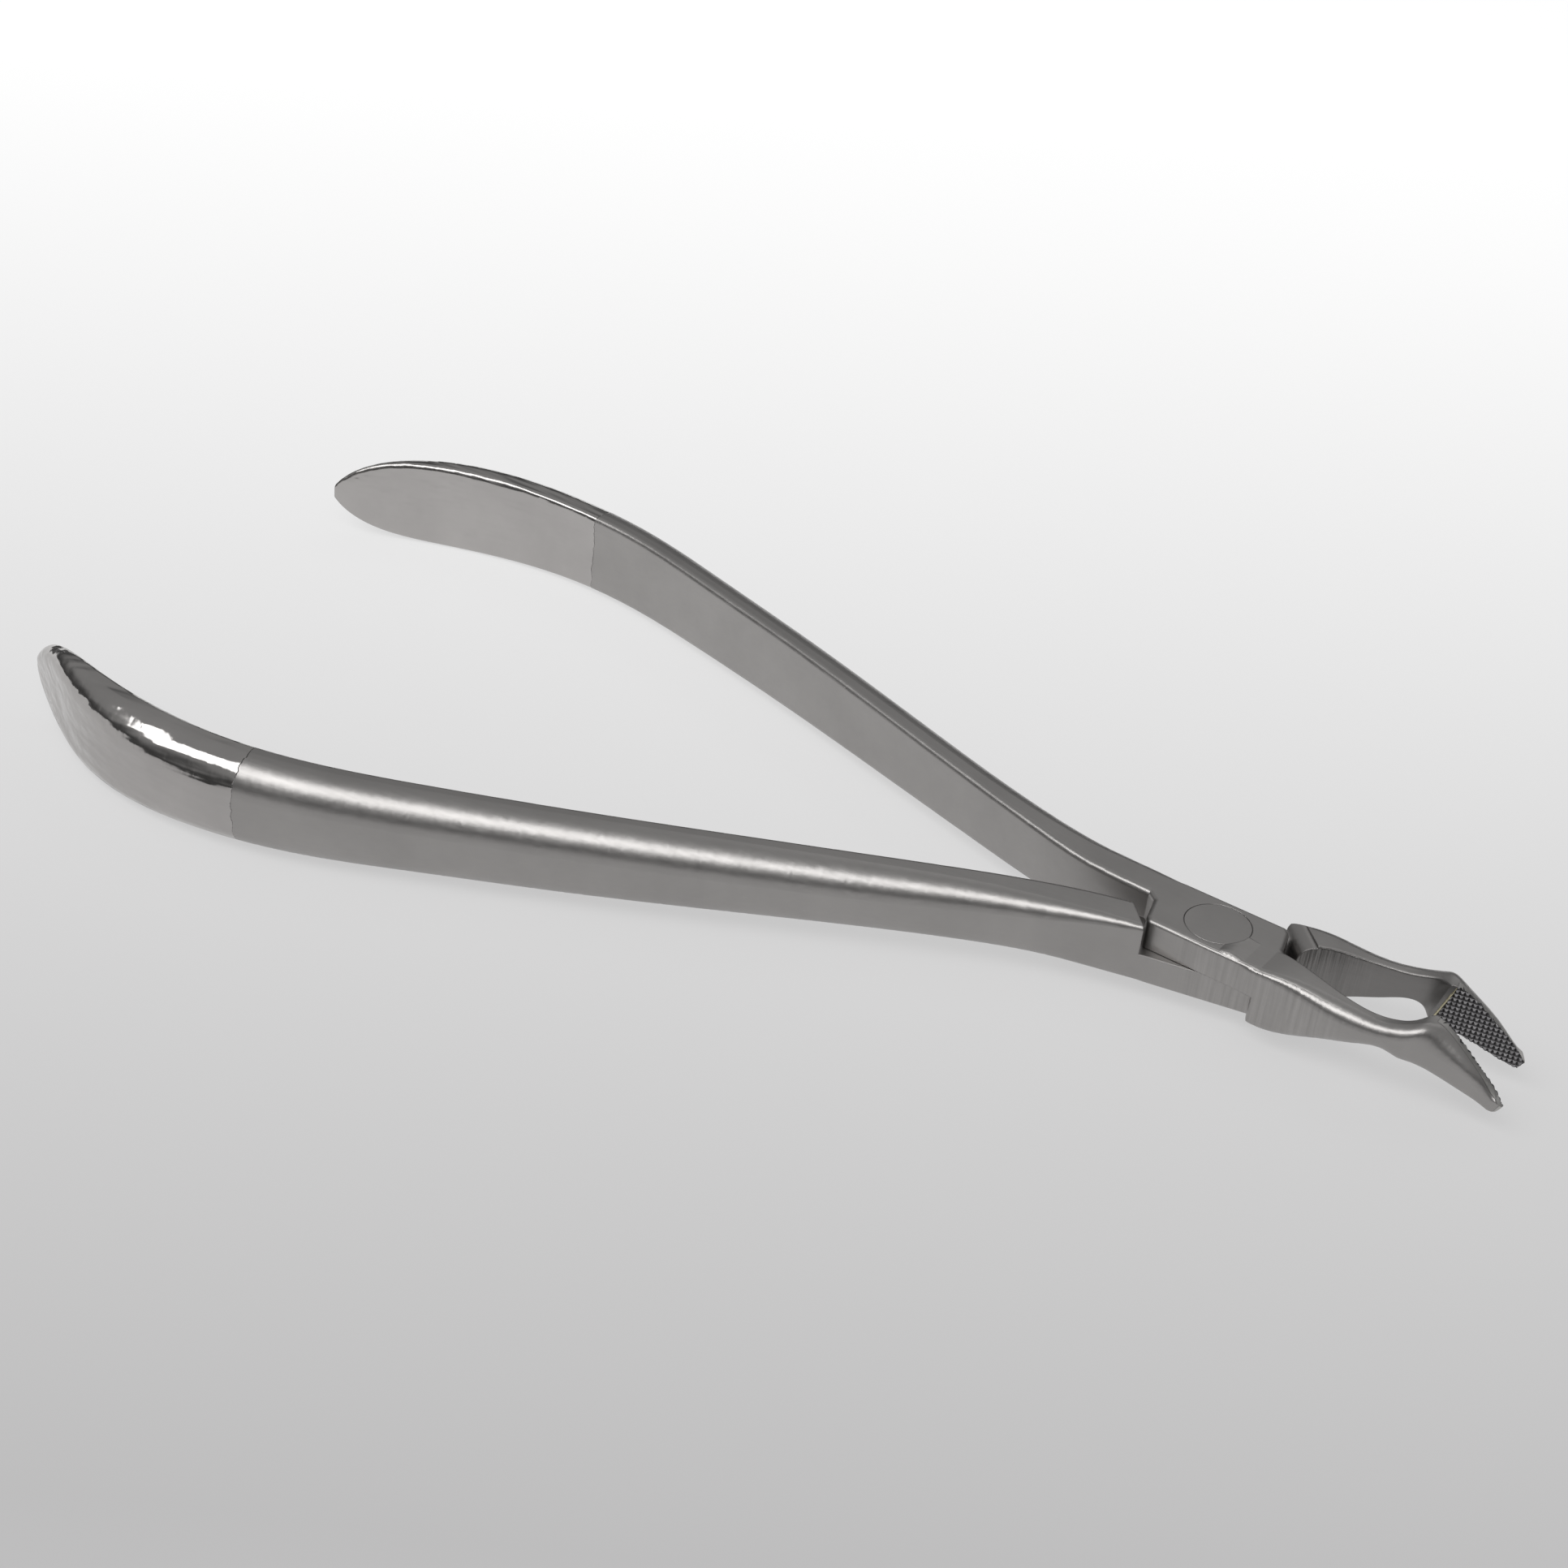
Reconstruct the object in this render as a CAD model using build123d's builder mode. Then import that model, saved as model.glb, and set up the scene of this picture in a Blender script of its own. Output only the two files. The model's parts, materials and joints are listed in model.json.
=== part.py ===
"""Extraction forceps: two forged halves crossed in a lap joint on one rivet, with brazed gripping plates.

X runs from the handles to the beaks, Y across them and Z along the rivet, up. The origin is on the rivet's
axis, in the flat underside of the joint. Each half is drawn as it lies when the forceps are shut, where the
XZ plane parts the two, and is then turned half the rest opening about the rivet. Millimetres and degrees.
"""
import os
from math import cos, radians, sin, tan

from build123d import *

os.makedirs("parts", exist_ok=True)

REST_OPENING = 13.2  # between the two halves as modelled

# Lap joint
JOINT_THICKNESS = 6.6
JOINT_HALF_WIDTH = 4.3
LAP_HEIGHT = JOINT_THICKNESS / 2
LAP_GAP = 0.05  # running gap between the two plates
SHUT_GAP = 0.4  # between the two halves' inner faces when shut
FACE_OFFSET = SHUT_GAP / 2
PLATE_EDGE_RADIUS = 0.5
PLATE_CORNER_RADIUS = 0.6
HANDLE_SHOULDER_X = 9.0  # where the shoulder walls of the handles and of the beaks meet the XZ plane
BEAK_SHOULDER_X = 8.35
SHOULDER_LEAN = 30.3  # of the shoulder walls, from the Y axis
SHOULDER_CORNER_RADIUS = 0.8  # of a beak shoulder's outer upright edge
SHOULDER_FOOT_RADIUS = 1.8  # of its edge on the outside of the joint
SHOULDER_LIP = 0.3  # from the joint's long side out to the edge of that rounded corner

# Rivet: fixed in the lower half, a running fit in the upper one
RIVET_HEAD_RADIUS = 3.4
RIVET_HEAD_THICKNESS = 1.5
RIVET_SHANK_RADIUS = 2.4
RUNNING_CLEARANCE = 0.04

# Gripping plates
INSERT_THICKNESS = 0.8
INSERT_EDGE_X = 22.3  # where the plate's straight rear edge crosses the height of the lap
INSERT_EDGE_LEAN = 19.0  # of that edge, from the vertical

# Handle slices: X, inner face from the XZ plane, thickness, height, radii of the outer corners at the top and
# at the bottom
HANDLE_INNER_RADIUS = 0.6
HANDLE_SLICES = [
    (-3.0, 0.2, 4.06, 6.54, 0.5, 0.5),
    (-6.5, 0.2, 4.15, 6.56, 0.6, 0.6),
    (-10.0, 0.3, 4.4, 6.6, 0.9, 0.9),
    (-16.0, 0.9, 4.7, 6.4, 1.6, 1.4),
    (-22.0, 2.3, 4.65, 6.6, 2.2, 1.8),
    (-30.0, 4.6, 4.65, 6.9, 2.7, 2.1),
    (-45.0, 9.2, 4.75, 7.6, 3.1, 2.4),
    (-62.0, 14.3, 4.75, 8.4, 3.3, 2.5),
    (-78.0, 18.5, 4.85, 9.0, 3.4, 2.6),
    (-90.0, 21.1, 4.95, 9.6, 3.5, 2.7),
    (-100.0, 21.6, 5.15, 10.0, 3.6, 2.8),
    (-109.0, 20.4, 4.9, 10.6, 3.2, 2.5),
    (-117.0, 17.8, 4.1, 10.8, 2.5, 2.1),
    (-123.0, 14.8, 2.8, 9.6, 1.7, 1.5),
    (-127.0, 12.5, 1.9, 6.2, 1.0, 1.0),
    (-129.0, 11.4, 1.3, 2.2, 0.5, 0.5),
]

# Beak slices: X and height of the middle above the lap, lean from the vertical, inner and outer face from
# the XZ plane, height, radii of the outer corners at the top and at the bottom. An inner face short of the
# XZ plane is cut flat there.
BEAK_INNER_RADIUS = 0.2
BEAK_SLICES = [
    (2.0, 0.0, 0, -0.4, 4.26, 6.54, 0.5, 0.5),
    (5.0, 0.0, 0, -0.4, 4.35, 6.56, 0.6, 0.6),
    (8.0, 0.1, 0, 0.2, 4.5, 6.7, 0.8, 0.8),
    (10.8, 0.4, 0, 1.1, 4.55, 6.3, 1.2, 1.2),
    (14.0, 0.7, 0, 1.7, 4.45, 4.9, 1.5, 1.6),
    (17.0, 0.95, 2, 2.0, 4.25, 3.8, 1.4, 1.9),
    (19.8, 1.5, 6, 1.9, 4.1, 3.1, 1.2, 1.6),
    (21.6, 1.8, 13, 1.3, 3.85, 4.0, 1.5, 1.1),
    (22.5, 1.9, 17, 0.1, 3.5, 4.75, 1.7, 1.0),
    (23.5, 1.65, 22, -0.5, 3.0, 4.85, 2.0, 1.0),
    (25.6, 0.7, 27, -0.5, 2.4, 4.1, 1.6, 1.0),
    (28.1, -0.65, 30, -0.5, 1.8, 3.0, 1.0, 0.8),
    (30.4, -2.0, 32, -0.5, 1.25, 1.9, 0.5, 0.5),
    (31.4, -2.6, 34, -0.5, 0.8, 1.0, 0.3, 0.3),
]

# One end of the upper plate in plan, from its outer edge to the root of the beak. The other end is the same,
# turned half round.
PLATE_END = [(5.6, 4.3), (6.15, 3.55), (6.95, 0.55), (7.9, -0.25), (9.5, -1.2), (9.5, -4.0), (5.5, -4.3)]

CUT_REACH = 8.0  # how far the cutting shapes run past the steel
CORNER_CUT_REACH = 3.0  # how far the recess runs on along X outside the beak's outer face


# The handle of the upper half, on the +Y side
with BuildPart() as handle:
    for x, inner, thickness, height, top_radius, bottom_radius in HANDLE_SLICES:
        with BuildSketch(Plane.YZ.offset(x)) as handle_slice:
            with Locations((inner + thickness / 2, LAP_HEIGHT)):
                Rectangle(thickness, height)
            fillet(handle_slice.vertices().group_by(Axis.X)[0], HANDLE_INNER_RADIUS)
            fillet(handle_slice.vertices().group_by(Axis.X)[-1].sort_by(Axis.Y)[-1], top_radius)
            fillet(handle_slice.vertices().group_by(Axis.X)[-1].sort_by(Axis.Y)[0], bottom_radius)
    loft()
    split(bisect_by=Plane.XZ.offset(-FACE_OFFSET), keep=Keep.BOTTOM)

# The beak of the upper half, on the -Y side: an arm, and a tapered blade bent down from it
with BuildPart() as beak:
    for x, z, lean, inner, outer, height, top_radius, bottom_radius in BEAK_SLICES:
        slant = radians(lean)
        slice_plane = Plane((x, 0, LAP_HEIGHT + z), x_dir=(0, 1, 0), z_dir=(cos(slant), 0, -sin(slant)))
        with BuildSketch(slice_plane) as beak_slice:
            with Locations((-(inner + outer) / 2, 0)):
                Rectangle(outer - inner, height)
            fillet(beak_slice.vertices().group_by(Axis.X)[-1], BEAK_INNER_RADIUS)
            fillet(beak_slice.vertices().group_by(Axis.X)[0].sort_by(Axis.Y)[-1], top_radius)
            fillet(beak_slice.vertices().group_by(Axis.X)[0].sort_by(Axis.Y)[0], bottom_radius)
    loft()
    split(bisect_by=Plane.XZ.offset(FACE_OFFSET), keep=Keep.TOP)

# The plate of the upper half, above the lap
with BuildPart() as plate:
    with BuildSketch(Plane.XY.offset(LAP_HEIGHT + LAP_GAP / 2)) as plate_outline:
        Polygon(*PLATE_END, *[(-x, -y) for x, y in PLATE_END], align=None)
        ends = plate_outline.vertices().filter_by(lambda corner: corner.X * corner.Y > 0)
        fillet(ends, PLATE_CORNER_RADIUS)
    extrude(amount=LAP_HEIGHT - LAP_GAP / 2)
    fillet(plate.faces().sort_by(Axis.Z)[-1].edges(), PLATE_EDGE_RADIUS)

# The room that the upper half leaves for the lower plate, between its shoulder walls, with the upright edge and
# the foot of its beak shoulder rounded
shoulder_slope = tan(radians(SHOULDER_LEAN))
wall_shift = CUT_REACH * shoulder_slope
corner_y = -JOINT_HALF_WIDTH - SHOULDER_LIP
corner_x = BEAK_SHOULDER_X + corner_y * shoulder_slope
recess_outline = [
    (wall_shift - HANDLE_SHOULDER_X, CUT_REACH),
    (-wall_shift - HANDLE_SHOULDER_X, -CUT_REACH),
    (corner_x + CORNER_CUT_REACH, -CUT_REACH),
    (corner_x + CORNER_CUT_REACH, corner_y),
    (corner_x, corner_y),
    (wall_shift + BEAK_SHOULDER_X, CUT_REACH),
]
foot_plane = Plane(
    (BEAK_SHOULDER_X, 0, 0),
    x_dir=(cos(radians(SHOULDER_LEAN)), -sin(radians(SHOULDER_LEAN)), 0),
    z_dir=(sin(radians(SHOULDER_LEAN)), cos(radians(SHOULDER_LEAN)), 0),
)
with BuildPart() as recess:
    with BuildSketch(Plane.XY.offset(LAP_HEIGHT + LAP_GAP / 2)) as recess_plan:
        Polygon(*recess_outline, align=None)
        fillet(recess_plan.vertices().sort_by_distance((corner_x, corner_y))[0], SHOULDER_CORNER_RADIUS)
    extrude(amount=-CUT_REACH)
    with BuildSketch(foot_plane):
        Rectangle(2 * SHOULDER_FOOT_RADIUS, 2 * SHOULDER_FOOT_RADIUS)
        with Locations((SHOULDER_FOOT_RADIUS, -SHOULDER_FOOT_RADIUS)):
            Circle(SHOULDER_FOOT_RADIUS, mode=Mode.SUBTRACT)
    extrude(amount=CUT_REACH, both=True)

# The space that a gripping plate fills on the beak of the upper half
edge_shift = CUT_REACH * tan(radians(INSERT_EDGE_LEAN))
with BuildPart() as insert_space:
    with BuildSketch(Plane.XZ.offset(FACE_OFFSET)):
        Polygon(
            (INSERT_EDGE_X - edge_shift, LAP_HEIGHT - CUT_REACH),
            (INSERT_EDGE_X + edge_shift, LAP_HEIGHT + CUT_REACH),
            (BEAK_SLICES[-1][0] + CUT_REACH, LAP_HEIGHT + CUT_REACH),
            (BEAK_SLICES[-1][0] + CUT_REACH, LAP_HEIGHT - CUT_REACH),
            align=None,
        )
    extrude(amount=INSERT_THICKNESS)

upper_turn = Location((0, 0, 0), (0, 0, -REST_OPENING / 2))
lower_turn = Location((0, 0, 0), (0, 0, REST_OPENING / 2))
turned_over = Location((0, 0, JOINT_THICKNESS), (180, 0, 0))

# Upper half: its plate covers the joint, counterbored for the rivet's head
with BuildPart() as shut_upper_half:
    add(handle.part)
    add(beak.part)
    add(plate.part)
    add(recess.part, mode=Mode.SUBTRACT)
    add(insert_space.part, mode=Mode.SUBTRACT)
    with Locations((0, 0, JOINT_THICKNESS)):
        CounterBoreHole(
            RIVET_SHANK_RADIUS + RUNNING_CLEARANCE,
            RIVET_HEAD_RADIUS + RUNNING_CLEARANCE,
            RIVET_HEAD_THICKNESS + LAP_GAP,
        )
with BuildPart() as upper_half:
    with Locations(upper_turn):
        add(shut_upper_half.part)
upper_half.part.label = "upper_half"

# Lower half: the same handle and beak on the other side, and the same joint turned over
with BuildPart() as shut_lower_half:
    mirror(handle.part, about=Plane.XZ)
    mirror(beak.part, about=Plane.XZ)
    with Locations(turned_over):
        add(plate.part)
        add(recess.part, mode=Mode.SUBTRACT)
    mirror(insert_space.part, about=Plane.XZ, mode=Mode.SUBTRACT)
    with Locations((0, 0, JOINT_THICKNESS)):
        Hole(RIVET_SHANK_RADIUS)
with BuildPart() as lower_half:
    with Locations(lower_turn):
        add(shut_lower_half.part)
lower_half.part.label = "lower_half"

# Rivet: a flat head flush with the upper plate and a shank peened flush with the lower one
with BuildPart() as joint_rivet:
    with BuildSketch():
        Circle(RIVET_SHANK_RADIUS)
    extrude(amount=JOINT_THICKNESS)
    with BuildSketch(Plane.XY.offset(JOINT_THICKNESS - RIVET_HEAD_THICKNESS)):
        Circle(RIVET_HEAD_RADIUS)
    extrude(amount=RIVET_HEAD_THICKNESS)
joint_rivet.part.label = "joint_rivet"

# Gripping plates, brazed into the inner faces of the beaks
with BuildPart() as shut_insert:
    add(beak.part)
    add(insert_space.part, mode=Mode.INTERSECT)
with BuildPart() as upper_beak_insert:
    with Locations(upper_turn):
        add(shut_insert.part)
upper_beak_insert.part.label = "upper_beak_insert"
with BuildPart() as lower_beak_insert:
    with Locations(lower_turn):
        add(mirror(shut_insert.part, about=Plane.XZ, mode=Mode.PRIVATE))
lower_beak_insert.part.label = "lower_beak_insert"

for piece in (upper_half, lower_half, joint_rivet, upper_beak_insert, lower_beak_insert):
    export_step(piece.part, f"parts/{piece.part.label}.step")
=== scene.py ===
"""Extraction forceps: finishes of the two forged halves, the rivet, the serrated gripping plates
with their braze beads, and a pale studio floor."""

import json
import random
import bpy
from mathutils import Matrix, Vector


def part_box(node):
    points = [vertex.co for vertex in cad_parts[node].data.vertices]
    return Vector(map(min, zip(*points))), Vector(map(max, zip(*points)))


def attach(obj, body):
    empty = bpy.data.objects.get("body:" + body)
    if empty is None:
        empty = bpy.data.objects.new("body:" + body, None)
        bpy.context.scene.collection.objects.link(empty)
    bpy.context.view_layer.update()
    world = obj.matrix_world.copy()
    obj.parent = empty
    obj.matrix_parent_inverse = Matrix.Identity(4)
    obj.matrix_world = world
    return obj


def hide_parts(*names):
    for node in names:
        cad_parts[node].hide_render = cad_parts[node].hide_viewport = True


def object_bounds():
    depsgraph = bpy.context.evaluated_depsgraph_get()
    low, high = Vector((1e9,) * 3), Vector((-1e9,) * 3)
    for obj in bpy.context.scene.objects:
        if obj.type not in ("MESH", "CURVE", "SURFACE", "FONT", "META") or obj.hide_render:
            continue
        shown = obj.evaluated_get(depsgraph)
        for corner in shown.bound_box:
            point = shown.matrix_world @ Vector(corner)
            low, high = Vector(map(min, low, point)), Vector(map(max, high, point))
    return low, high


bl_info = {
    "name": "Extraction Forceps",
    "version": (1, 0, 0),
    "blender": (4, 5, 0),
    "location": "View3D > Sidebar > Forceps",
    "description": "Steel finishes, serrated plates, rivet and stage for extraction forceps",
    "category": "Add Mesh",
}

from math import cos, floor, pi, radians, sin, tan

import bmesh
import bpy
from bpy.props import FloatProperty, FloatVectorProperty, IntProperty, PointerProperty
from bpy.types import Operator, Panel, PropertyGroup
from mathutils import Euler, Matrix, Vector

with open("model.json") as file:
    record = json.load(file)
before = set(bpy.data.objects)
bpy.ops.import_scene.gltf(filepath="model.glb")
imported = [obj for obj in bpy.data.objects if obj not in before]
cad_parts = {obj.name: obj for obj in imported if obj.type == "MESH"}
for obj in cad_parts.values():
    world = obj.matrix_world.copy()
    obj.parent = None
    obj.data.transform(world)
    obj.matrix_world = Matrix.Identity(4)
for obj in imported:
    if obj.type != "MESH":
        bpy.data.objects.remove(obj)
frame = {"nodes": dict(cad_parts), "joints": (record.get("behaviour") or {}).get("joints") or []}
cad_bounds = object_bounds()

MM = 0.001
JOINT = frame["joints"][0]
REST_OPENING = -JOINT["range_deg"][0]  # degrees; the beaks are shut at the joint's lower limit
HALF_TURNS = {"upper": -radians(REST_OPENING / 2), "lower": radians(REST_OPENING / 2)}
BODIES = {"upper": "moving_half", "lower": "fixed_half"}
BEAK_SIDES = {"upper": -1, "lower": 1}  # the side of the XZ plane that each half's beak is on
FACE_OFFSET = 0.2 * MM  # from the XZ plane to a beak's gripping face, when shut
INSERT_EDGE_X = 22.3 * MM  # where a plate's straight rear edge crosses the height of the lap
INSERT_EDGE_LEAN = radians(19.0)
EDGE_ROUNDING = 0.15 * MM  # a plate's rear edge stands back from the gripping face by less than this
RIVET_LOW, RIVET_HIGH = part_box("joint_rivet")


# Properties


def colour_property(name, description, default):
    return FloatVectorProperty(
        name=name, description=description, subtype="COLOR", size=3, min=0.0, max=1.0, default=default
    )


def length_property(name, description, default, least=0.0):
    return FloatProperty(name=name, description=description, unit="LENGTH", default=default, min=least)


class ForcepsSteelSettings(PropertyGroup):
    satin_colour: colour_property(
        "Satin colour", "Colour of the bead-blasted steel", (0.375, 0.364, 0.356)
    )
    polished_colour: colour_property(
        "Polished colour", "Colour of the polished handle ends", (0.45, 0.436, 0.426)
    )
    satin_roughness: FloatProperty(
        name="Satin roughness",
        description="Roughness of the bead-blasted steel",
        default=0.34,
        min=0.05,
        max=1.0,
    )
    polished_roughness: FloatProperty(
        name="Polished roughness",
        description="Roughness of the handle ends",
        default=0.1,
        min=0.0,
        max=1.0,
    )
    polish_line: length_property(
        "Polish line", "Distance behind the rivet where the polished handle end starts", 96 * MM
    )
    edge_radius: length_property("Edge radius", "Softening of the forging's sharp edges", 0.16 * MM)


class ForcepsPlateSettings(PropertyGroup):
    pitch: length_property("Pitch", "Distance between the serration's pyramids", 0.5 * MM, 0.1 * MM)
    depth: length_property("Depth", "Depth of the grooves between the pyramids", 0.17 * MM, 0.01 * MM)
    flat: FloatProperty(
        name="Flat",
        description="Width of a pyramid's flat top as a share of the pitch",
        default=0.26,
        min=0.0,
        max=0.9,
    )
    groove_colour: colour_property(
        "Groove colour", "Colour down in the serration's grooves", (0.11, 0.107, 0.11)
    )
    # the crest colour is a painted highlight on the pyramids' tops, lighter than the carbide down in the
    # grooves
    crest_highlight_colour: colour_property(
        "Crest colour", "Colour of the pyramids' worn tops", (0.145, 0.142, 0.145)
    )
    edge_colour: colour_property("Edge colour", "Colour of a plate's ground edges", (0.5, 0.49, 0.475))


class ForcepsBrazeSettings(PropertyGroup):
    radius: length_property("Radius", "Radius of the braze bead beside a gripping plate", 0.13 * MM, 0.01 * MM)
    colour: colour_property("Colour", "Colour of the braze filler", (0.62, 0.57, 0.4))
    seed: IntProperty(name="Seed", description="Seed of the bead's unevenness", default=7)


class ForcepsRivetSettings(PropertyGroup):
    chamfer: length_property("Chamfer", "Broken edge round the rivet's head and foot", 0.04 * MM)
    foot_ring: length_property(
        "Foot ring", "Radius of the ring that peening leaves in the rivet's foot", 1.3 * MM, 0.1 * MM
    )


class ForcepsStageSettings(PropertyGroup):
    # the floor glows with painted light, darker on the camera's side and brighter behind
    near_floor: colour_property("Near floor", "Floor tone on the camera's side", (0.46, 0.457, 0.459))
    far_floor: colour_property("Far floor", "Floor tone behind the forceps", (0.99, 0.99, 0.99))
    key_power: FloatProperty(
        name="Key power", description="Watts of the long overhead softbox", default=3.0, min=0.0
    )
    fill_power: FloatProperty(
        name="Fill power", description="Watts of the softbox behind", default=0.3, min=0.0
    )
    lens: FloatProperty(
        name="Lens", description="Focal length of the camera", unit="CAMERA", default=60.04, min=10.0
    )


# Shader and mesh helpers

NOISE_LOW, NOISE_HIGH = 0.3, 0.7


class Shader:
    """A material's nodes, made one at a time with their inputs."""

    def __init__(self, name):
        self.material = bpy.data.materials.new(name)
        self.material.use_nodes = True
        self.tree = self.material.node_tree
        self.surface = self.tree.nodes["Principled BSDF"]

    def add(self, kind, inputs=(), **settings):
        node = self.tree.nodes.new("ShaderNode" + kind)
        for name, value in settings.items():
            setattr(node, name, value)
        self.feed(node, dict(inputs))
        return node

    def feed(self, node, inputs):
        for name, value in inputs.items():
            if isinstance(value, bpy.types.NodeSocket):
                self.tree.links.new(value, node.inputs[name])
            else:
                node.inputs[name].default_value = value

    def math(self, operation, first, second=0.0):
        node = self.add("Math", {0: first, 1: second}, operation=operation)
        return node.outputs[0]

    def ramp(self, value, low, high, start=0.0, end=1.0, smooth=False):
        """start where value is at or under low, end where it is at or over high."""
        node = self.add(
            "MapRange",
            {"Value": value, "From Min": low, "From Max": high, "To Min": start, "To Max": end},
            interpolation_type="SMOOTHSTEP" if smooth else "LINEAR",
        )
        return node.outputs["Result"]

    def noise(self, vector, scale, detail=2.0, roughness=0.5):
        """Noise from 0 to 1; scale is one number, or one for each axis, in waves to a millimetre."""
        if not isinstance(scale, (int, float)):
            vector = self.add("Mapping", {"Vector": vector, "Scale": scale}).outputs["Vector"]
            scale = 1.0
        node = self.add(
            "TexNoise", {"Vector": vector, "Scale": scale, "Detail": detail, "Roughness": roughness}
        )
        return node.outputs["Fac"]

    def vary(self, noise, start, end):
        """start to end over the range in which most of a noise lies."""
        return self.ramp(noise, NOISE_LOW, NOISE_HIGH, start, end)

    def axis(self, vector, letter):
        return self.add("SeparateXYZ", {"Vector": vector}).outputs[letter]

    def mix(self, share, first, second):
        node = self.add("Mix", {0: share, 6: first, 7: second}, data_type="RGBA")
        return node.outputs[2]

    def tint(self, colour, shade):
        """colour times a grey."""
        if not isinstance(colour, bpy.types.NodeSocket):
            colour = colour[:3]
        node = self.add("VectorMath", {0: colour, "Scale": shade}, operation="SCALE")
        return node.outputs["Vector"]

    def bump(self, height, distance, normal=None):
        inputs = {"Height": height, "Distance": distance, "Strength": 1.0}
        if normal is not None:
            inputs["Normal"] = normal
        return self.add("Bump", inputs).outputs["Normal"]

    def half_space(self, turn):
        """Object space in millimetres, turned so that its XZ plane parts the two halves as when shut."""
        place = self.add("TexCoord").outputs["Object"]
        turned = self.add(
            "Mapping", {"Vector": place, "Rotation": (0, 0, -turn), "Scale": (1 / MM,) * 3}
        )
        return turned.outputs["Vector"]

    def metal(self, colour, roughness, normal):
        self.surface.inputs["Metallic"].default_value = 1.0
        self.feed(self.surface, {"Base Color": colour, "Roughness": roughness, "Normal": normal})
        return self.material


def rgba(colour):
    return (*colour, 1.0)


def add_piece(name, mesh, body, materials, smooth_angle=None):
    """An object of the forceps that rides on one of its bodies."""
    piece = bpy.data.objects.new(name, mesh)
    bpy.context.scene.collection.objects.link(piece)
    for material in materials:
        mesh.materials.append(material)
    if smooth_angle is not None:
        mesh.shade_smooth()
        mesh.set_sharp_from_angle(angle=smooth_angle)
    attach(piece, body)
    return piece


# Steel of the two halves and the rivet

# Noises: scale in waves to a millimetre, detail and roughness
MASK_NOISE = (0.9, 4.0, 0.6)
MOTTLE_NOISE = (0.11, 4.0, 0.6)
SCRATCH_NOISE = (1.0, 3.0, 0.7)
SPARSE_NOISE = (0.05, 1.0, 0.5)
WHEEL_NOISE = ((2.4, 0.3, 0.1), 3.0, 0.6)
STREAK_NOISE = ((0.12, 3.5, 3.5), 3.0, 0.6)
GRAIN_NOISE = (5.5, 2.0, 0.5)
RIPPLE_NOISE = ((0.06, 0.36, 0.42), 2.0, 0.5)
SCRATCH_TURN = (0.0, 0.5, 0.15)  # radians, so that the scratches run aslant
SCRATCH_SCALE = (0.09, 2.2, 2.2)
SCRATCH_CUT = (0.66, 0.71)  # noise at which a scratch shows
SPARSE_CUT = (0.5, 0.62)  # noise at which a patch is scratched

# Depths of the relief
GRAIN_DEPTH = 0.0012 * MM
STREAK_DEPTH = 0.004 * MM
WHEEL_DEPTH = 0.09 * MM
RIPPLE_DEPTH = 0.42 * MM

# Tones, as shares of the steel's colour
MOTTLE_TONES = (0.93, 1.04)
SCRATCH_TONE = 0.05
WHEEL_TONE = 0.5
ARM_GAP_PAINTED_SHADE = 0.62  # painted shade on the inner sides of the beaks' arms, where little light falls between them

# Places along X, in millimetres, over which a finish or the painted shade between the arms sets in or dies
# away
GROUND_START = (-4.0, 1.0)
GROUND_END = (12.0, 18.0)
ARM_GAP_SHADE_START = (7.0, 10.0)
MASK_WANDER = 0.7  # how far the edge of the polish wanders
MASK_SOFTNESS = 0.05

SIDE_FACING = (0.6, 0.85)  # how squarely a surface faces along Y where it counts as a side
# how squarely a surface faces the beak's gripping side where the painted shade between the arms falls
ARM_GAP_SHADE_FACING = (0.3, 0.8)
ROUGHNESS_DROP, ROUGHNESS_RISE = 0.03, 0.04
BEVEL_SAMPLES = 4


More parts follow.
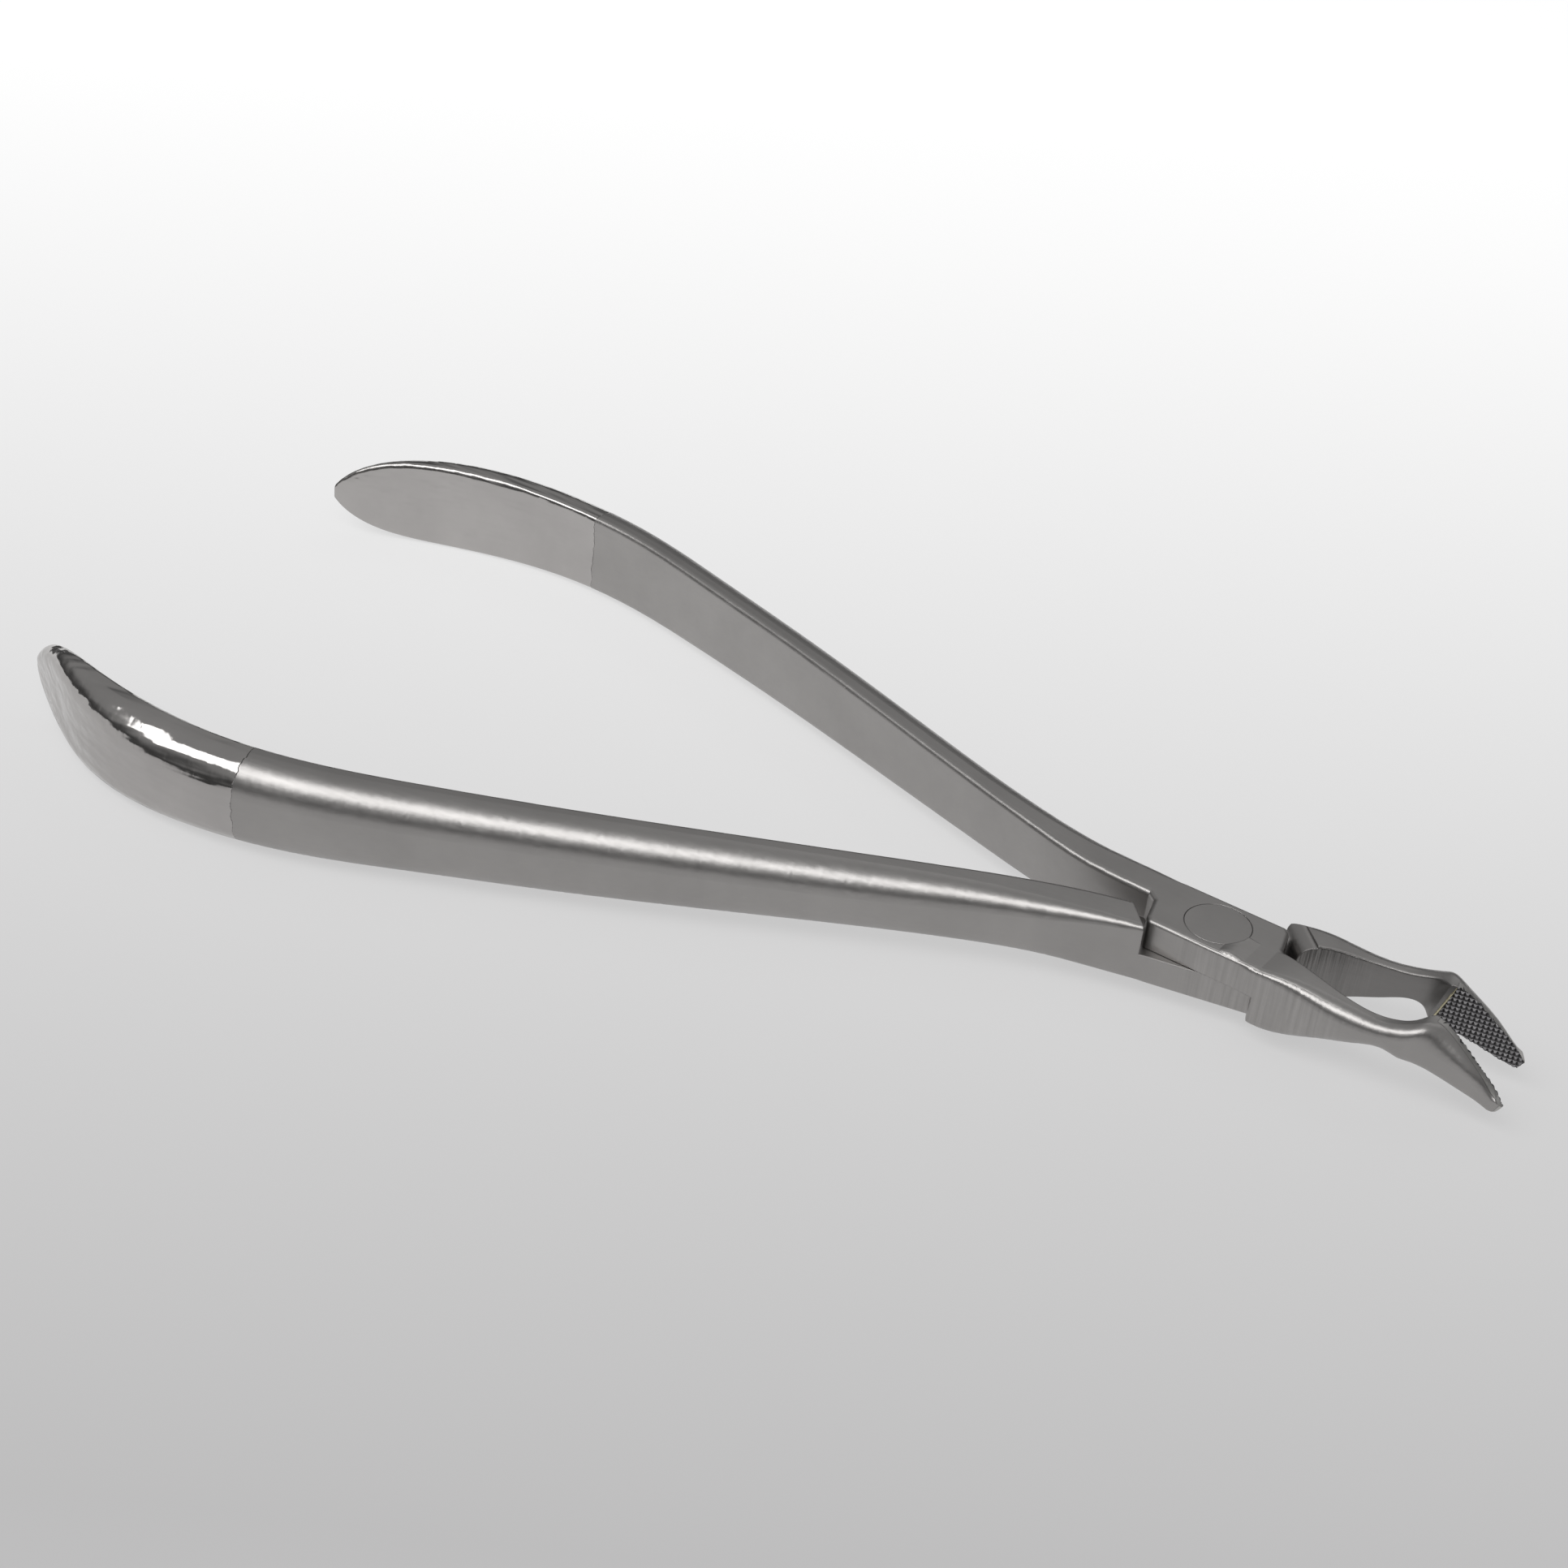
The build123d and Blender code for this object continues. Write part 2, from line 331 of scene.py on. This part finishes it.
def steel_material(name, turn, settings, inward=0, edge_radius=None, seed_shift=0.0):
    """Bead-blasted steel with ground joint sides, faint scratches and a polished handle end.

    inward is the way along Y that the beak's gripping side faces, where the painted shade between the arms
    falls, or 0 on a piece without a beak.
    """
    shader = Shader(name)
    place = shader.half_space(turn)
    if seed_shift:
        shifted = shader.add("VectorMath", {0: place, 1: (0, 0, seed_shift)}, operation="ADD")
        place = shifted.outputs["Vector"]
    along = shader.axis(place, "X")
    facing = shader.axis(shader.add("TexCoord").outputs["Normal"], "Y")
    on_side = shader.ramp(shader.math("ABSOLUTE", facing), *SIDE_FACING)

    # The masked line between the two finishes, a little uneven
    uneven = shader.math("MULTIPLY", shader.noise(place, *MASK_NOISE), MASK_WANDER)
    line = shader.math("ADD", along, uneven)
    polish_x = -settings.polish_line / MM + MASK_WANDER / 2
    polished = shader.ramp(line, polish_x - MASK_SOFTNESS, polish_x + MASK_SOFTNESS, 1.0, 0.0)
    unpolished = shader.math("SUBTRACT", 1.0, polished)

    # Tone: mottling, a few scratches, wheel marks on the joint's sides and painted shade on the inner sides of
    # the beak's arm
    mottle = shader.noise(place, *MOTTLE_NOISE)
    shade = shader.vary(mottle, *MOTTLE_TONES)
    scratch_place = shader.add(
        "Mapping", {"Vector": place, "Rotation": SCRATCH_TURN, "Scale": SCRATCH_SCALE}
    ).outputs["Vector"]
    scratch = shader.ramp(shader.noise(scratch_place, *SCRATCH_NOISE), *SCRATCH_CUT)
    sparse = shader.ramp(shader.noise(place, *SPARSE_NOISE), *SPARSE_CUT)
    scratch = shader.math("MULTIPLY", scratch, sparse)
    near_joint = shader.math(
        "MULTIPLY",
        shader.ramp(along, *GROUND_START, smooth=True),
        shader.ramp(along, *GROUND_END, 1.0, 0.0, smooth=True),
    )
    ground = shader.math("MULTIPLY", near_joint, on_side)
    wheel = shader.noise(place, *WHEEL_NOISE)
    wheel_tone = shader.math(
        "MULTIPLY", shader.math("SUBTRACT", wheel, 0.5), shader.math("MULTIPLY", ground, WHEEL_TONE)
    )
    shade = shader.math("ADD", shade, wheel_tone)
    shade = shader.math("ADD", shade, shader.math("MULTIPLY", scratch, SCRATCH_TONE))
    # painted shade on the inner sides of the beak's arm, where little light falls between the two arms
    if inward:
        between = shader.ramp(shader.math("MULTIPLY", facing, float(inward)), *ARM_GAP_SHADE_FACING)
        between = shader.math("MULTIPLY", between, shader.ramp(along, *ARM_GAP_SHADE_START, smooth=True))
        shade = shader.math("MULTIPLY", shade, shader.ramp(between, 0.0, 1.0, 1.0, ARM_GAP_PAINTED_SHADE))
    colour = shader.mix(polished, rgba(settings.satin_colour), rgba(settings.polished_colour))
    colour = shader.tint(colour, shade)

    streaks = shader.noise(place, *STREAK_NOISE)
    satin = settings.satin_roughness
    satin = shader.vary(streaks, satin - ROUGHNESS_DROP, satin + ROUGHNESS_RISE)
    gloss = settings.polished_roughness
    gloss = shader.vary(mottle, gloss - ROUGHNESS_DROP, gloss + ROUGHNESS_RISE)
    roughness = shader.add("Mix", {0: polished, 2: satin, 3: gloss}, data_type="FLOAT").outputs[0]

    # Relief: blasted grain, drawn streaks, wheel marks and the ripples left by the polishing mop
    radius = settings.edge_radius if edge_radius is None else edge_radius
    normal = shader.add("Bevel", {"Radius": radius}, samples=BEVEL_SAMPLES).outputs["Normal"]
    reliefs = (
        (shader.noise(place, *GRAIN_NOISE), unpolished, GRAIN_DEPTH),
        (streaks, unpolished, STREAK_DEPTH),
        (wheel, ground, WHEEL_DEPTH),
        (shader.noise(place, *RIPPLE_NOISE), polished, RIPPLE_DEPTH),
    )
    for height, share, depth in reliefs:
        normal = shader.bump(shader.math("MULTIPLY", height, share), depth, normal)
    return shader.metal(colour, roughness, normal)


class FORCEPS_OT_finish_halves(Operator):
    """Give the two forged halves their satin steel with polished handle ends"""

    bl_idname = "forceps.finish_halves"
    bl_label = "Finish Halves"
    bl_options = {"REGISTER", "UNDO"}

    def execute(self, context):
        for half, turn in HALF_TURNS.items():
            node = frame["nodes"][half + "_half"]
            material = steel_material(
                half + "_half_steel", turn, context.scene.forceps_steel, inward=-BEAK_SIDES[half]
            )
            node.data.materials.clear()
            node.data.materials.append(material)
        return {"FINISHED"}


SHANK_RADIUS = 2.4 * MM
HEAD_DEPTH = 1.5 * MM
HEAD_SINK = 0.02 * MM  # how far the ground head lies below the top of the CAD rivet
RING_WIDTH, RING_DEPTH = 0.18 * MM, 0.05 * MM  # of one side of the ring that peening leaves
RIVET_STEPS = 128
RIVET_SMOOTH_ANGLE = radians(30)
WELD_DISTANCE = 0.001 * MM
RIVET_SEED_SHIFT = 40.0  # millimetres along Z, so that the rivet's marks differ from the halves'


class FORCEPS_OT_make_rivet(Operator):
    """Turn the rivet with a broken edge round its head and a peened foot"""

    bl_idname = "forceps.make_rivet"
    bl_label = "Make Rivet"
    bl_options = {"REGISTER", "UNDO"}

    def execute(self, context):
        settings = context.scene.forceps_rivet
        chamfer = settings.chamfer
        head = RIVET_HIGH.x
        top, foot = RIVET_HIGH.z - HEAD_SINK, RIVET_LOW.z
        shoulder = RIVET_HIGH.z - HEAD_DEPTH
        ring = settings.foot_ring
        profile = [
            (0.0, top),
            (head - chamfer, top),
            (head, top - chamfer),
            (head, shoulder),
            (SHANK_RADIUS, shoulder),
            (SHANK_RADIUS, foot + chamfer),
            (SHANK_RADIUS - chamfer, foot),
            (ring + RING_WIDTH, foot),
            (ring, foot + RING_DEPTH),
            (ring - RING_WIDTH, foot),
            (0.0, foot),
        ]
        mesh = bpy.data.meshes.new("rivet")
        shape = bmesh.new()
        line = [shape.verts.new((radius, 0.0, z)) for radius, z in profile]
        edges = [shape.edges.new(pair) for pair in zip(line, line[1:])]
        bmesh.ops.spin(
            shape,
            geom=line + edges,
            cent=(0, 0, 0),
            axis=(0, 0, 1),
            angle=2 * pi,
            steps=RIVET_STEPS,
            use_merge=True,
        )
        bmesh.ops.remove_doubles(shape, verts=shape.verts, dist=WELD_DISTANCE)
        bmesh.ops.recalc_face_normals(shape, faces=shape.faces)
        shape.to_mesh(mesh)
        shape.free()
        material = steel_material(
            "rivet_steel", 0.0, context.scene.forceps_steel, edge_radius=chamfer, seed_shift=RIVET_SEED_SHIFT
        )
        rivet = add_piece("rivet", mesh, "fixed_half", [material], RIVET_SMOOTH_ANGLE)
        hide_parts("joint_rivet")
        return {"FINISHED"}


# Serrated gripping plates and their braze

SPECKLE_NOISE = (3.0, 3.0, 0.6)
CARBIDE_NOISE = (2.0, 2.0, 0.5)
SINTER_NOISE = (9.0, 2.0, 0.5)
GRIND_NOISE = ((0.5, 4.0, 4.0), 3.0, 0.6)
BLOTCH_NOISE = (3.0, 3.0, 0.6)
SPECKLE_TONES = (0.85, 1.15)
GRIND_TONES = (0.92, 1.05)
BLOTCH_TONES = (0.8, 1.1)
CARBIDE_ROUGHNESS = (0.36, 0.5)
GRIND_ROUGHNESS = (0.28, 0.4)
BLOTCH_ROUGHNESS = (0.3, 0.45)
SINTER_DEPTH = 0.004 * MM
GRIND_DEPTH = 0.01 * MM
BLOTCH_DEPTH = 0.02 * MM
CREST_CLEARANCE = 0.004 * MM  # keeps the pyramids' flats off the plate's own face
PAD_BACK = 1.4 * MM  # from the gripping face to the pad's back, past the plate's
GROOVE_CLEARANCE = 0.01 * MM  # a face whose middle is deeper than the grooves by this is an edge
LEAST_PLATE_FACES = 100  # fewer would mean that the pad missed the plate


def carbide_material(name, turn, side, settings):
    """Dark carbide, with a painted highlight on the crests of its serration."""
    shader = Shader(name)
    place = shader.half_space(turn)
    height = shader.math("MULTIPLY", shader.axis(place, "Y"), float(-side))
    face = -FACE_OFFSET / MM
    deep = face - settings.depth / MM
    # painted highlight on the serration's crests, rising from the darker carbide in the grooves
    crest = shader.ramp(height, deep + 0.5 * (face - deep), face, smooth=True)
    colour = shader.mix(crest, rgba(settings.groove_colour), rgba(settings.crest_highlight_colour))
    speckle = shader.vary(shader.noise(place, *SPECKLE_NOISE), *SPECKLE_TONES)
    roughness = shader.vary(shader.noise(place, *CARBIDE_NOISE), *CARBIDE_ROUGHNESS)
    normal = shader.bump(shader.noise(place, *SINTER_NOISE), SINTER_DEPTH)
    return shader.metal(shader.tint(colour, speckle), roughness, normal)


def ground_edge_material(name, turn, settings):
    """The plate's edges, ground flush with the beak."""
    shader = Shader(name)
    grind = shader.noise(shader.half_space(turn), *GRIND_NOISE)
    colour = shader.tint(rgba(settings.edge_colour), shader.vary(grind, *GRIND_TONES))
    roughness = shader.vary(grind, *GRIND_ROUGHNESS)
    return shader.metal(colour, roughness, shader.bump(grind, GRIND_DEPTH))


def serrated_pad(low, high, side, turn, settings):
    """A closed pad, larger than the plate, with rows of flat-topped pyramids on its gripping side."""
    pitch, depth = settings.pitch, settings.depth
    crest_y = side * (FACE_OFFSET + CREST_CLEARANCE)
    valley_y = side * (FACE_OFFSET + depth)
    back_y = side * (FACE_OFFSET + PAD_BACK)
    columns = range(floor(low.x / pitch) - 1, floor(high.x / pitch) + 2)
    rows = range(floor(low.z / pitch) - 1, floor(high.z / pitch) + 2)
    shape = bmesh.new()
    found = {}

    def vertex(x, y, z):
        key = (round(x / MM, 5), round(y / MM, 5), round(z / MM, 5))
        if key not in found:
            found[key] = shape.verts.new((x, y, z))
        return found[key]

    half_flat = settings.flat * pitch / 2
    for column in columns:
        for row in rows:
            x0, z0 = column * pitch, row * pitch
            middle_x, middle_z = x0 + pitch / 2, z0 + pitch / 2
            outer = [(x0, z0), (x0 + pitch, z0), (x0 + pitch, z0 + pitch), (x0, z0 + pitch)]
            inner = [
                (middle_x - half_flat, middle_z - half_flat),
                (middle_x + half_flat, middle_z - half_flat),
                (middle_x + half_flat, middle_z + half_flat),
                (middle_x - half_flat, middle_z + half_flat),
            ]
            shape.faces.new([vertex(x, crest_y, z) for x, z in inner])
            for corner in range(4):
                following = (corner + 1) % 4
                shape.faces.new(
                    [
                        vertex(outer[corner][0], valley_y, outer[corner][1]),
                        vertex(outer[following][0], valley_y, outer[following][1]),
                        vertex(inner[following][0], crest_y, inner[following][1]),
                        vertex(inner[corner][0], crest_y, inner[corner][1]),
                    ]
                )
    rim = [edge for edge in shape.edges if edge.is_boundary]
    walls = bmesh.ops.extrude_edge_only(shape, edges=rim)["geom"]
    for element in walls:
        if isinstance(element, bmesh.types.BMVert):
            element.co.y = back_y
    bmesh.ops.holes_fill(shape, edges=[edge for edge in shape.edges if edge.is_boundary], sides=0)
    bmesh.ops.recalc_face_normals(shape, faces=shape.faces)
    bmesh.ops.transform(shape, matrix=Matrix.Rotation(turn, 4, "Z"), verts=shape.verts)
    mesh = bpy.data.meshes.new("serrated_pad")
    shape.to_mesh(mesh)
    shape.free()
    return mesh


class FORCEPS_OT_make_plates(Operator):
    """Cut the serrated gripping plates to the outline of the beaks"""

    bl_idname = "forceps.make_plates"
    bl_label = "Make Gripping Plates"
    bl_options = {"REGISTER", "UNDO"}

    def execute(self, context):
        settings = context.scene.forceps_plates
        for half, turn in HALF_TURNS.items():
            side = BEAK_SIDES[half]
            node = frame["nodes"][half + "_beak_insert"]
            unturn = Matrix.Rotation(-turn, 4, "Z")
            corners = [unturn @ vertex.co for vertex in node.data.vertices]
            low = Vector([min(corner[axis] for corner in corners) for axis in range(3)])
            high = Vector([max(corner[axis] for corner in corners) for axis in range(3)])
            pad = bpy.data.objects.new("pad", serrated_pad(low, high, side, turn, settings))
            bpy.context.scene.collection.objects.link(pad)
            trim = pad.modifiers.new("outline", "BOOLEAN")
            trim.operation = "INTERSECT"
            trim.solver = "EXACT"
            trim.object = node
            graph = context.evaluated_depsgraph_get()
            mesh = bpy.data.meshes.new_from_object(pad.evaluated_get(graph))
            bpy.data.objects.remove(pad)
            if len(mesh.polygons) < LEAST_PLATE_FACES:
                raise RuntimeError("the serrated pad didn't meet the plate " + node.name)
            mesh.materials.clear()
            groove_y = FACE_OFFSET + settings.depth + GROOVE_CLEARANCE
            materials = [
                carbide_material(half + "_carbide", turn, side, settings),
                ground_edge_material(half + "_plate_edge", turn, settings),
            ]
            for polygon in mesh.polygons:
                polygon.use_smooth = False
                middle = unturn @ polygon.center
                polygon.material_index = int(side * middle.y > groove_y)
            plate = add_piece(half + "_gripping_plate", mesh, BODIES[half], materials)
            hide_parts(node.name)
        return {"FINISHED"}


def braze_material(settings):
    """Silver braze, slightly yellow."""
    shader = Shader("braze_filler")
    blotches = shader.noise(shader.half_space(0.0), *BLOTCH_NOISE)
    colour = shader.tint(rgba(settings.colour), shader.vary(blotches, *BLOTCH_TONES))
    roughness = shader.vary(blotches, *BLOTCH_ROUGHNESS)
    return shader.metal(colour, roughness, shader.bump(blotches, BLOTCH_DEPTH))


BEAD_RINGS, BEAD_SIDES = 40, 10
BEAD_SMOOTH_ANGLE = radians(50)
BEAD_TAPER = 4  # the bead thins over the last quarter of its length at each end
BEAD_END = 0.3  # radius at the ends, as a share
BEAD_THINNEST, BEAD_VARIATION = 0.8, 0.35  # uneven radius along it, as shares
BEAD_BEHIND, BEAD_BELOW = 0.4, 0.3  # radii behind the plate's rear edge, and into the beak
EDGE_TOLERANCE = 0.02 * MM


class FORCEPS_OT_make_braze(Operator):
    """Lay the thin braze beads along the rear edges of the gripping plates"""

    bl_idname = "forceps.make_braze"
    bl_label = "Make Braze Beads"
    bl_options = {"REGISTER", "UNDO"}

    def execute(self, context):
        settings = context.scene.forceps_braze
        material = braze_material(settings)
        dice = random.Random(settings.seed)
        lap = (RIVET_LOW.z + RIVET_HIGH.z) / 2
        for half, turn in HALF_TURNS.items():
            side = BEAK_SIDES[half]
            node = frame["nodes"][half + "_beak_insert"]
            unturn = Matrix.Rotation(-turn, 4, "Z")
            edge = []
            for vertex in node.data.vertices:
                place = unturn @ vertex.co
                edge_x = INSERT_EDGE_X + (place.z - lap) * tan(INSERT_EDGE_LEAN)
                inset = abs(place.y)
                if abs(place.x - edge_x) < EDGE_TOLERANCE and inset < FACE_OFFSET + EDGE_ROUNDING:
                    edge.append((place.z, inset))
            if len(edge) < 2:
                raise RuntimeError("no rear edge was found on " + node.name)
            (low, low_inset), (high, high_inset) = min(edge), max(edge)
            low, high = low + settings.radius, high - settings.radius
            shape = bmesh.new()
            loops = []
            for ring in range(BEAD_RINGS + 1):
                share = ring / BEAD_RINGS
                z = low + (high - low) * share
                taper = min(1.0, BEAD_TAPER * share + BEAD_END, BEAD_TAPER * (1 - share) + BEAD_END)
                radius = settings.radius * taper * (BEAD_THINNEST + BEAD_VARIATION * dice.random())
                x = INSERT_EDGE_X + (z - lap) * tan(INSERT_EDGE_LEAN) - BEAD_BEHIND * settings.radius
                y = side * (low_inset + (high_inset - low_inset) * share + BEAD_BELOW * radius)
                loop = []
                for step in range(BEAD_SIDES):
                    angle = 2 * pi * step / BEAD_SIDES
                    loop.append(shape.verts.new((x + radius * cos(angle), y + radius * sin(angle), z)))
                loops.append(loop)
            for loop, above in zip(loops, loops[1:]):
                for step in range(BEAD_SIDES):
                    following = (step + 1) % BEAD_SIDES
                    shape.faces.new((loop[step], loop[following], above[following], above[step]))
            shape.faces.new(loops[0][::-1])
            shape.faces.new(loops[-1])
            bmesh.ops.recalc_face_normals(shape, faces=shape.faces)
            bmesh.ops.transform(shape, matrix=Matrix.Rotation(turn, 4, "Z"), verts=shape.verts)
            mesh = bpy.data.meshes.new(half + "_braze_bead")
            shape.to_mesh(mesh)
            shape.free()
            add_piece(half + "_braze_bead", mesh, BODIES[half], [material], BEAD_SMOOTH_ANGLE)
        return {"FINISHED"}


# Stage

CAMERA_PLACE = Vector((49.7, -212.83, 152.45)) * MM
CAMERA_TURN = (57.49, -5.62, 28.41)  # degrees about X, Y and Z
SENSOR_WIDTH = 36.0
CLIP_START = 0.01
FLOOR_RADIUS, FLOOR_SIDES = 2.5, 96
FLOOR_DROP = 0.1 * MM  # below the lowest point of the forceps
# the floor's painted light runs from the near tone to the far tone between these
TONE_START, TONE_END = 0.32, -0.08  # metres ahead of the origin: the far tone's edge and the near tone's
TONE_POWER = 1.6
GLOW_STRENGTH = 1.27
MATT_SHARE = 0.35  # of the floor's plain diffuse against its glow
ROOM_TONES = ((0.0, 0.12), (0.1, 0.07), (0.25, 0.13), (0.5, 0.34), (1.0, 0.42))  # height, grey
SOFTBOXES = {
    "key": {"place": (-0.12, -0.38, 0.56), "aim": (-0.05, -0.02, 0.0), "width": 0.34, "length": 1.0},
    "fill": {"place": (0.1, 0.6, 0.7), "aim": (-0.04, 0.0, 0.0), "width": 0.3, "length": 0.9},
}


def add_softbox(name, power, place, aim, width, length):
    light = bpy.data.lights.new(name, "AREA")
    light.shape = "RECTANGLE"
    light.size = length
    light.size_y = width
    light.energy = power
    softbox = bpy.data.objects.new(name, light)
    bpy.context.scene.collection.objects.link(softbox)
    softbox.location = place
    softbox.rotation_euler = (Vector(place) - Vector(aim)).to_track_quat("Z", "Y").to_euler()


class FORCEPS_OT_make_stage(Operator):
    """Set the pale floor, the soft studio light and the camera"""

    bl_idname = "forceps.make_stage"
    bl_label = "Make Stage"
    bl_options = {"REGISTER", "UNDO"}

    def execute(self, context):
        settings = context.scene.forceps_stage
        scene = context.scene
        scene.view_settings.view_transform = "Standard"

        camera = bpy.data.objects.new("camera", bpy.data.cameras.new("camera"))
        scene.collection.objects.link(camera)
        camera.location = CAMERA_PLACE
        camera.rotation_euler = Euler([radians(angle) for angle in CAMERA_TURN])
        camera.data.lens = settings.lens
        camera.data.sensor_width = SENSOR_WIDTH
        camera.data.clip_start = CLIP_START
        scene.camera = camera

        # The floor glows with painted light, darker on the camera's side and brighter behind, toned along the
        # camera's view over the ground
        mesh = bpy.data.meshes.new("floor")
        shape = bmesh.new()
        bmesh.ops.create_circle(shape, cap_ends=True, radius=FLOOR_RADIUS, segments=FLOOR_SIDES)
        shape.to_mesh(mesh)
        shape.free()
        ground = bpy.data.objects.new("floor", mesh)
        scene.collection.objects.link(ground)
        ground.location.z = cad_bounds[0][2] - FLOOR_DROP
        shader = Shader("pale_floor")
        place = shader.add("TexCoord").outputs["Object"]
        view = camera.rotation_euler.to_matrix() @ Vector((0, 0, -1))
        ahead = Vector((view.x, view.y, 0)).normalized()
        run = shader.add("VectorMath", {0: place, 1: ahead}, operation="DOT_PRODUCT").outputs["Value"]
        tone = shader.ramp(run, TONE_START, TONE_END)
        tone = shader.math("SUBTRACT", 1.0, shader.math("POWER", tone, TONE_POWER))
        colour = shader.mix(tone, rgba(settings.near_floor), rgba(settings.far_floor))
        glow = shader.add("Emission", {"Color": colour, "Strength": GLOW_STRENGTH})
        matt = shader.add("BsdfDiffuse", {"Color": colour})
        both = shader.add("MixShader", {0: MATT_SHARE, 1: glow.outputs[0], 2: matt.outputs[0]})
        output = shader.tree.nodes["Material Output"]
        shader.tree.links.new(both.outputs[0], output.inputs["Surface"])
        shader.tree.nodes.remove(shader.surface)
        mesh.materials.append(shader.material)

        # A grey room, darkest just above the floor
        world = bpy.data.worlds.new("studio")
        scene.world = world
        world.use_nodes = True
        nodes, links = world.node_tree.nodes, world.node_tree.links
        direction = nodes.new("ShaderNodeTexCoord")
        split = nodes.new("ShaderNodeSeparateXYZ")
        links.new(direction.outputs["Generated"], split.inputs[0])
        room = nodes.new("ShaderNodeValToRGB")
        links.new(split.outputs["Z"], room.inputs[0])
        while len(room.color_ramp.elements) < len(ROOM_TONES):
            room.color_ramp.elements.new(1.0)
        for element, (height, grey) in zip(room.color_ramp.elements, ROOM_TONES):
            element.position = height
            element.color = (grey, grey, grey, 1.0)
        background = nodes["Background"]
        links.new(room.outputs["Color"], background.inputs["Color"])
        background.inputs["Strength"].default_value = 1.0

        add_softbox("key", settings.key_power, **SOFTBOXES["key"])
        add_softbox("fill", settings.fill_power, **SOFTBOXES["fill"])
        return {"FINISHED"}


# Panel and start


class FORCEPS_PT_panel(Panel):
    """Sizes, colours and steps of the forceps"""

    bl_idname = "FORCEPS_PT_panel"
    bl_label = "Extraction Forceps"
    bl_space_type = "VIEW_3D"
    bl_region_type = "UI"
    bl_category = "Forceps"

    def draw(self, context):
        for group, operator in zip(GROUPS, OPERATORS):
            box = self.layout.box()
            settings = getattr(context.scene, group)
            for name in settings.bl_rna.properties.keys():
                if name not in ("rna_type", "name"):
                    box.prop(settings, name)
            box.operator(operator.bl_idname)


# Each group of settings goes with the operator in the same place
GROUPS = {
    "forceps_steel": ForcepsSteelSettings,
    "forceps_rivet": ForcepsRivetSettings,
    "forceps_plates": ForcepsPlateSettings,
    "forceps_braze": ForcepsBrazeSettings,
    "forceps_stage": ForcepsStageSettings,
}
OPERATORS = (
    FORCEPS_OT_finish_halves,
    FORCEPS_OT_make_rivet,
    FORCEPS_OT_make_plates,
    FORCEPS_OT_make_braze,
    FORCEPS_OT_make_stage,
)


def register():
    for group in GROUPS.values():
        bpy.utils.register_class(group)
    for name, group in GROUPS.items():
        setattr(bpy.types.Scene, name, PointerProperty(type=group))
    for operator in OPERATORS:
        bpy.utils.register_class(operator)
    bpy.utils.register_class(FORCEPS_PT_panel)


def unregister():
    bpy.utils.unregister_class(FORCEPS_PT_panel)
    for operator in reversed(OPERATORS):
        bpy.utils.unregister_class(operator)
    for name in reversed(GROUPS):
        delattr(bpy.types.Scene, name)
    for group in reversed(GROUPS.values()):
        bpy.utils.unregister_class(group)


def main():
    register()
    bpy.ops.forceps.finish_halves()
    bpy.ops.forceps.make_rivet()
    bpy.ops.forceps.make_plates()
    bpy.ops.forceps.make_braze()
    bpy.ops.forceps.make_stage()


if __name__ == "__main__":
    main()
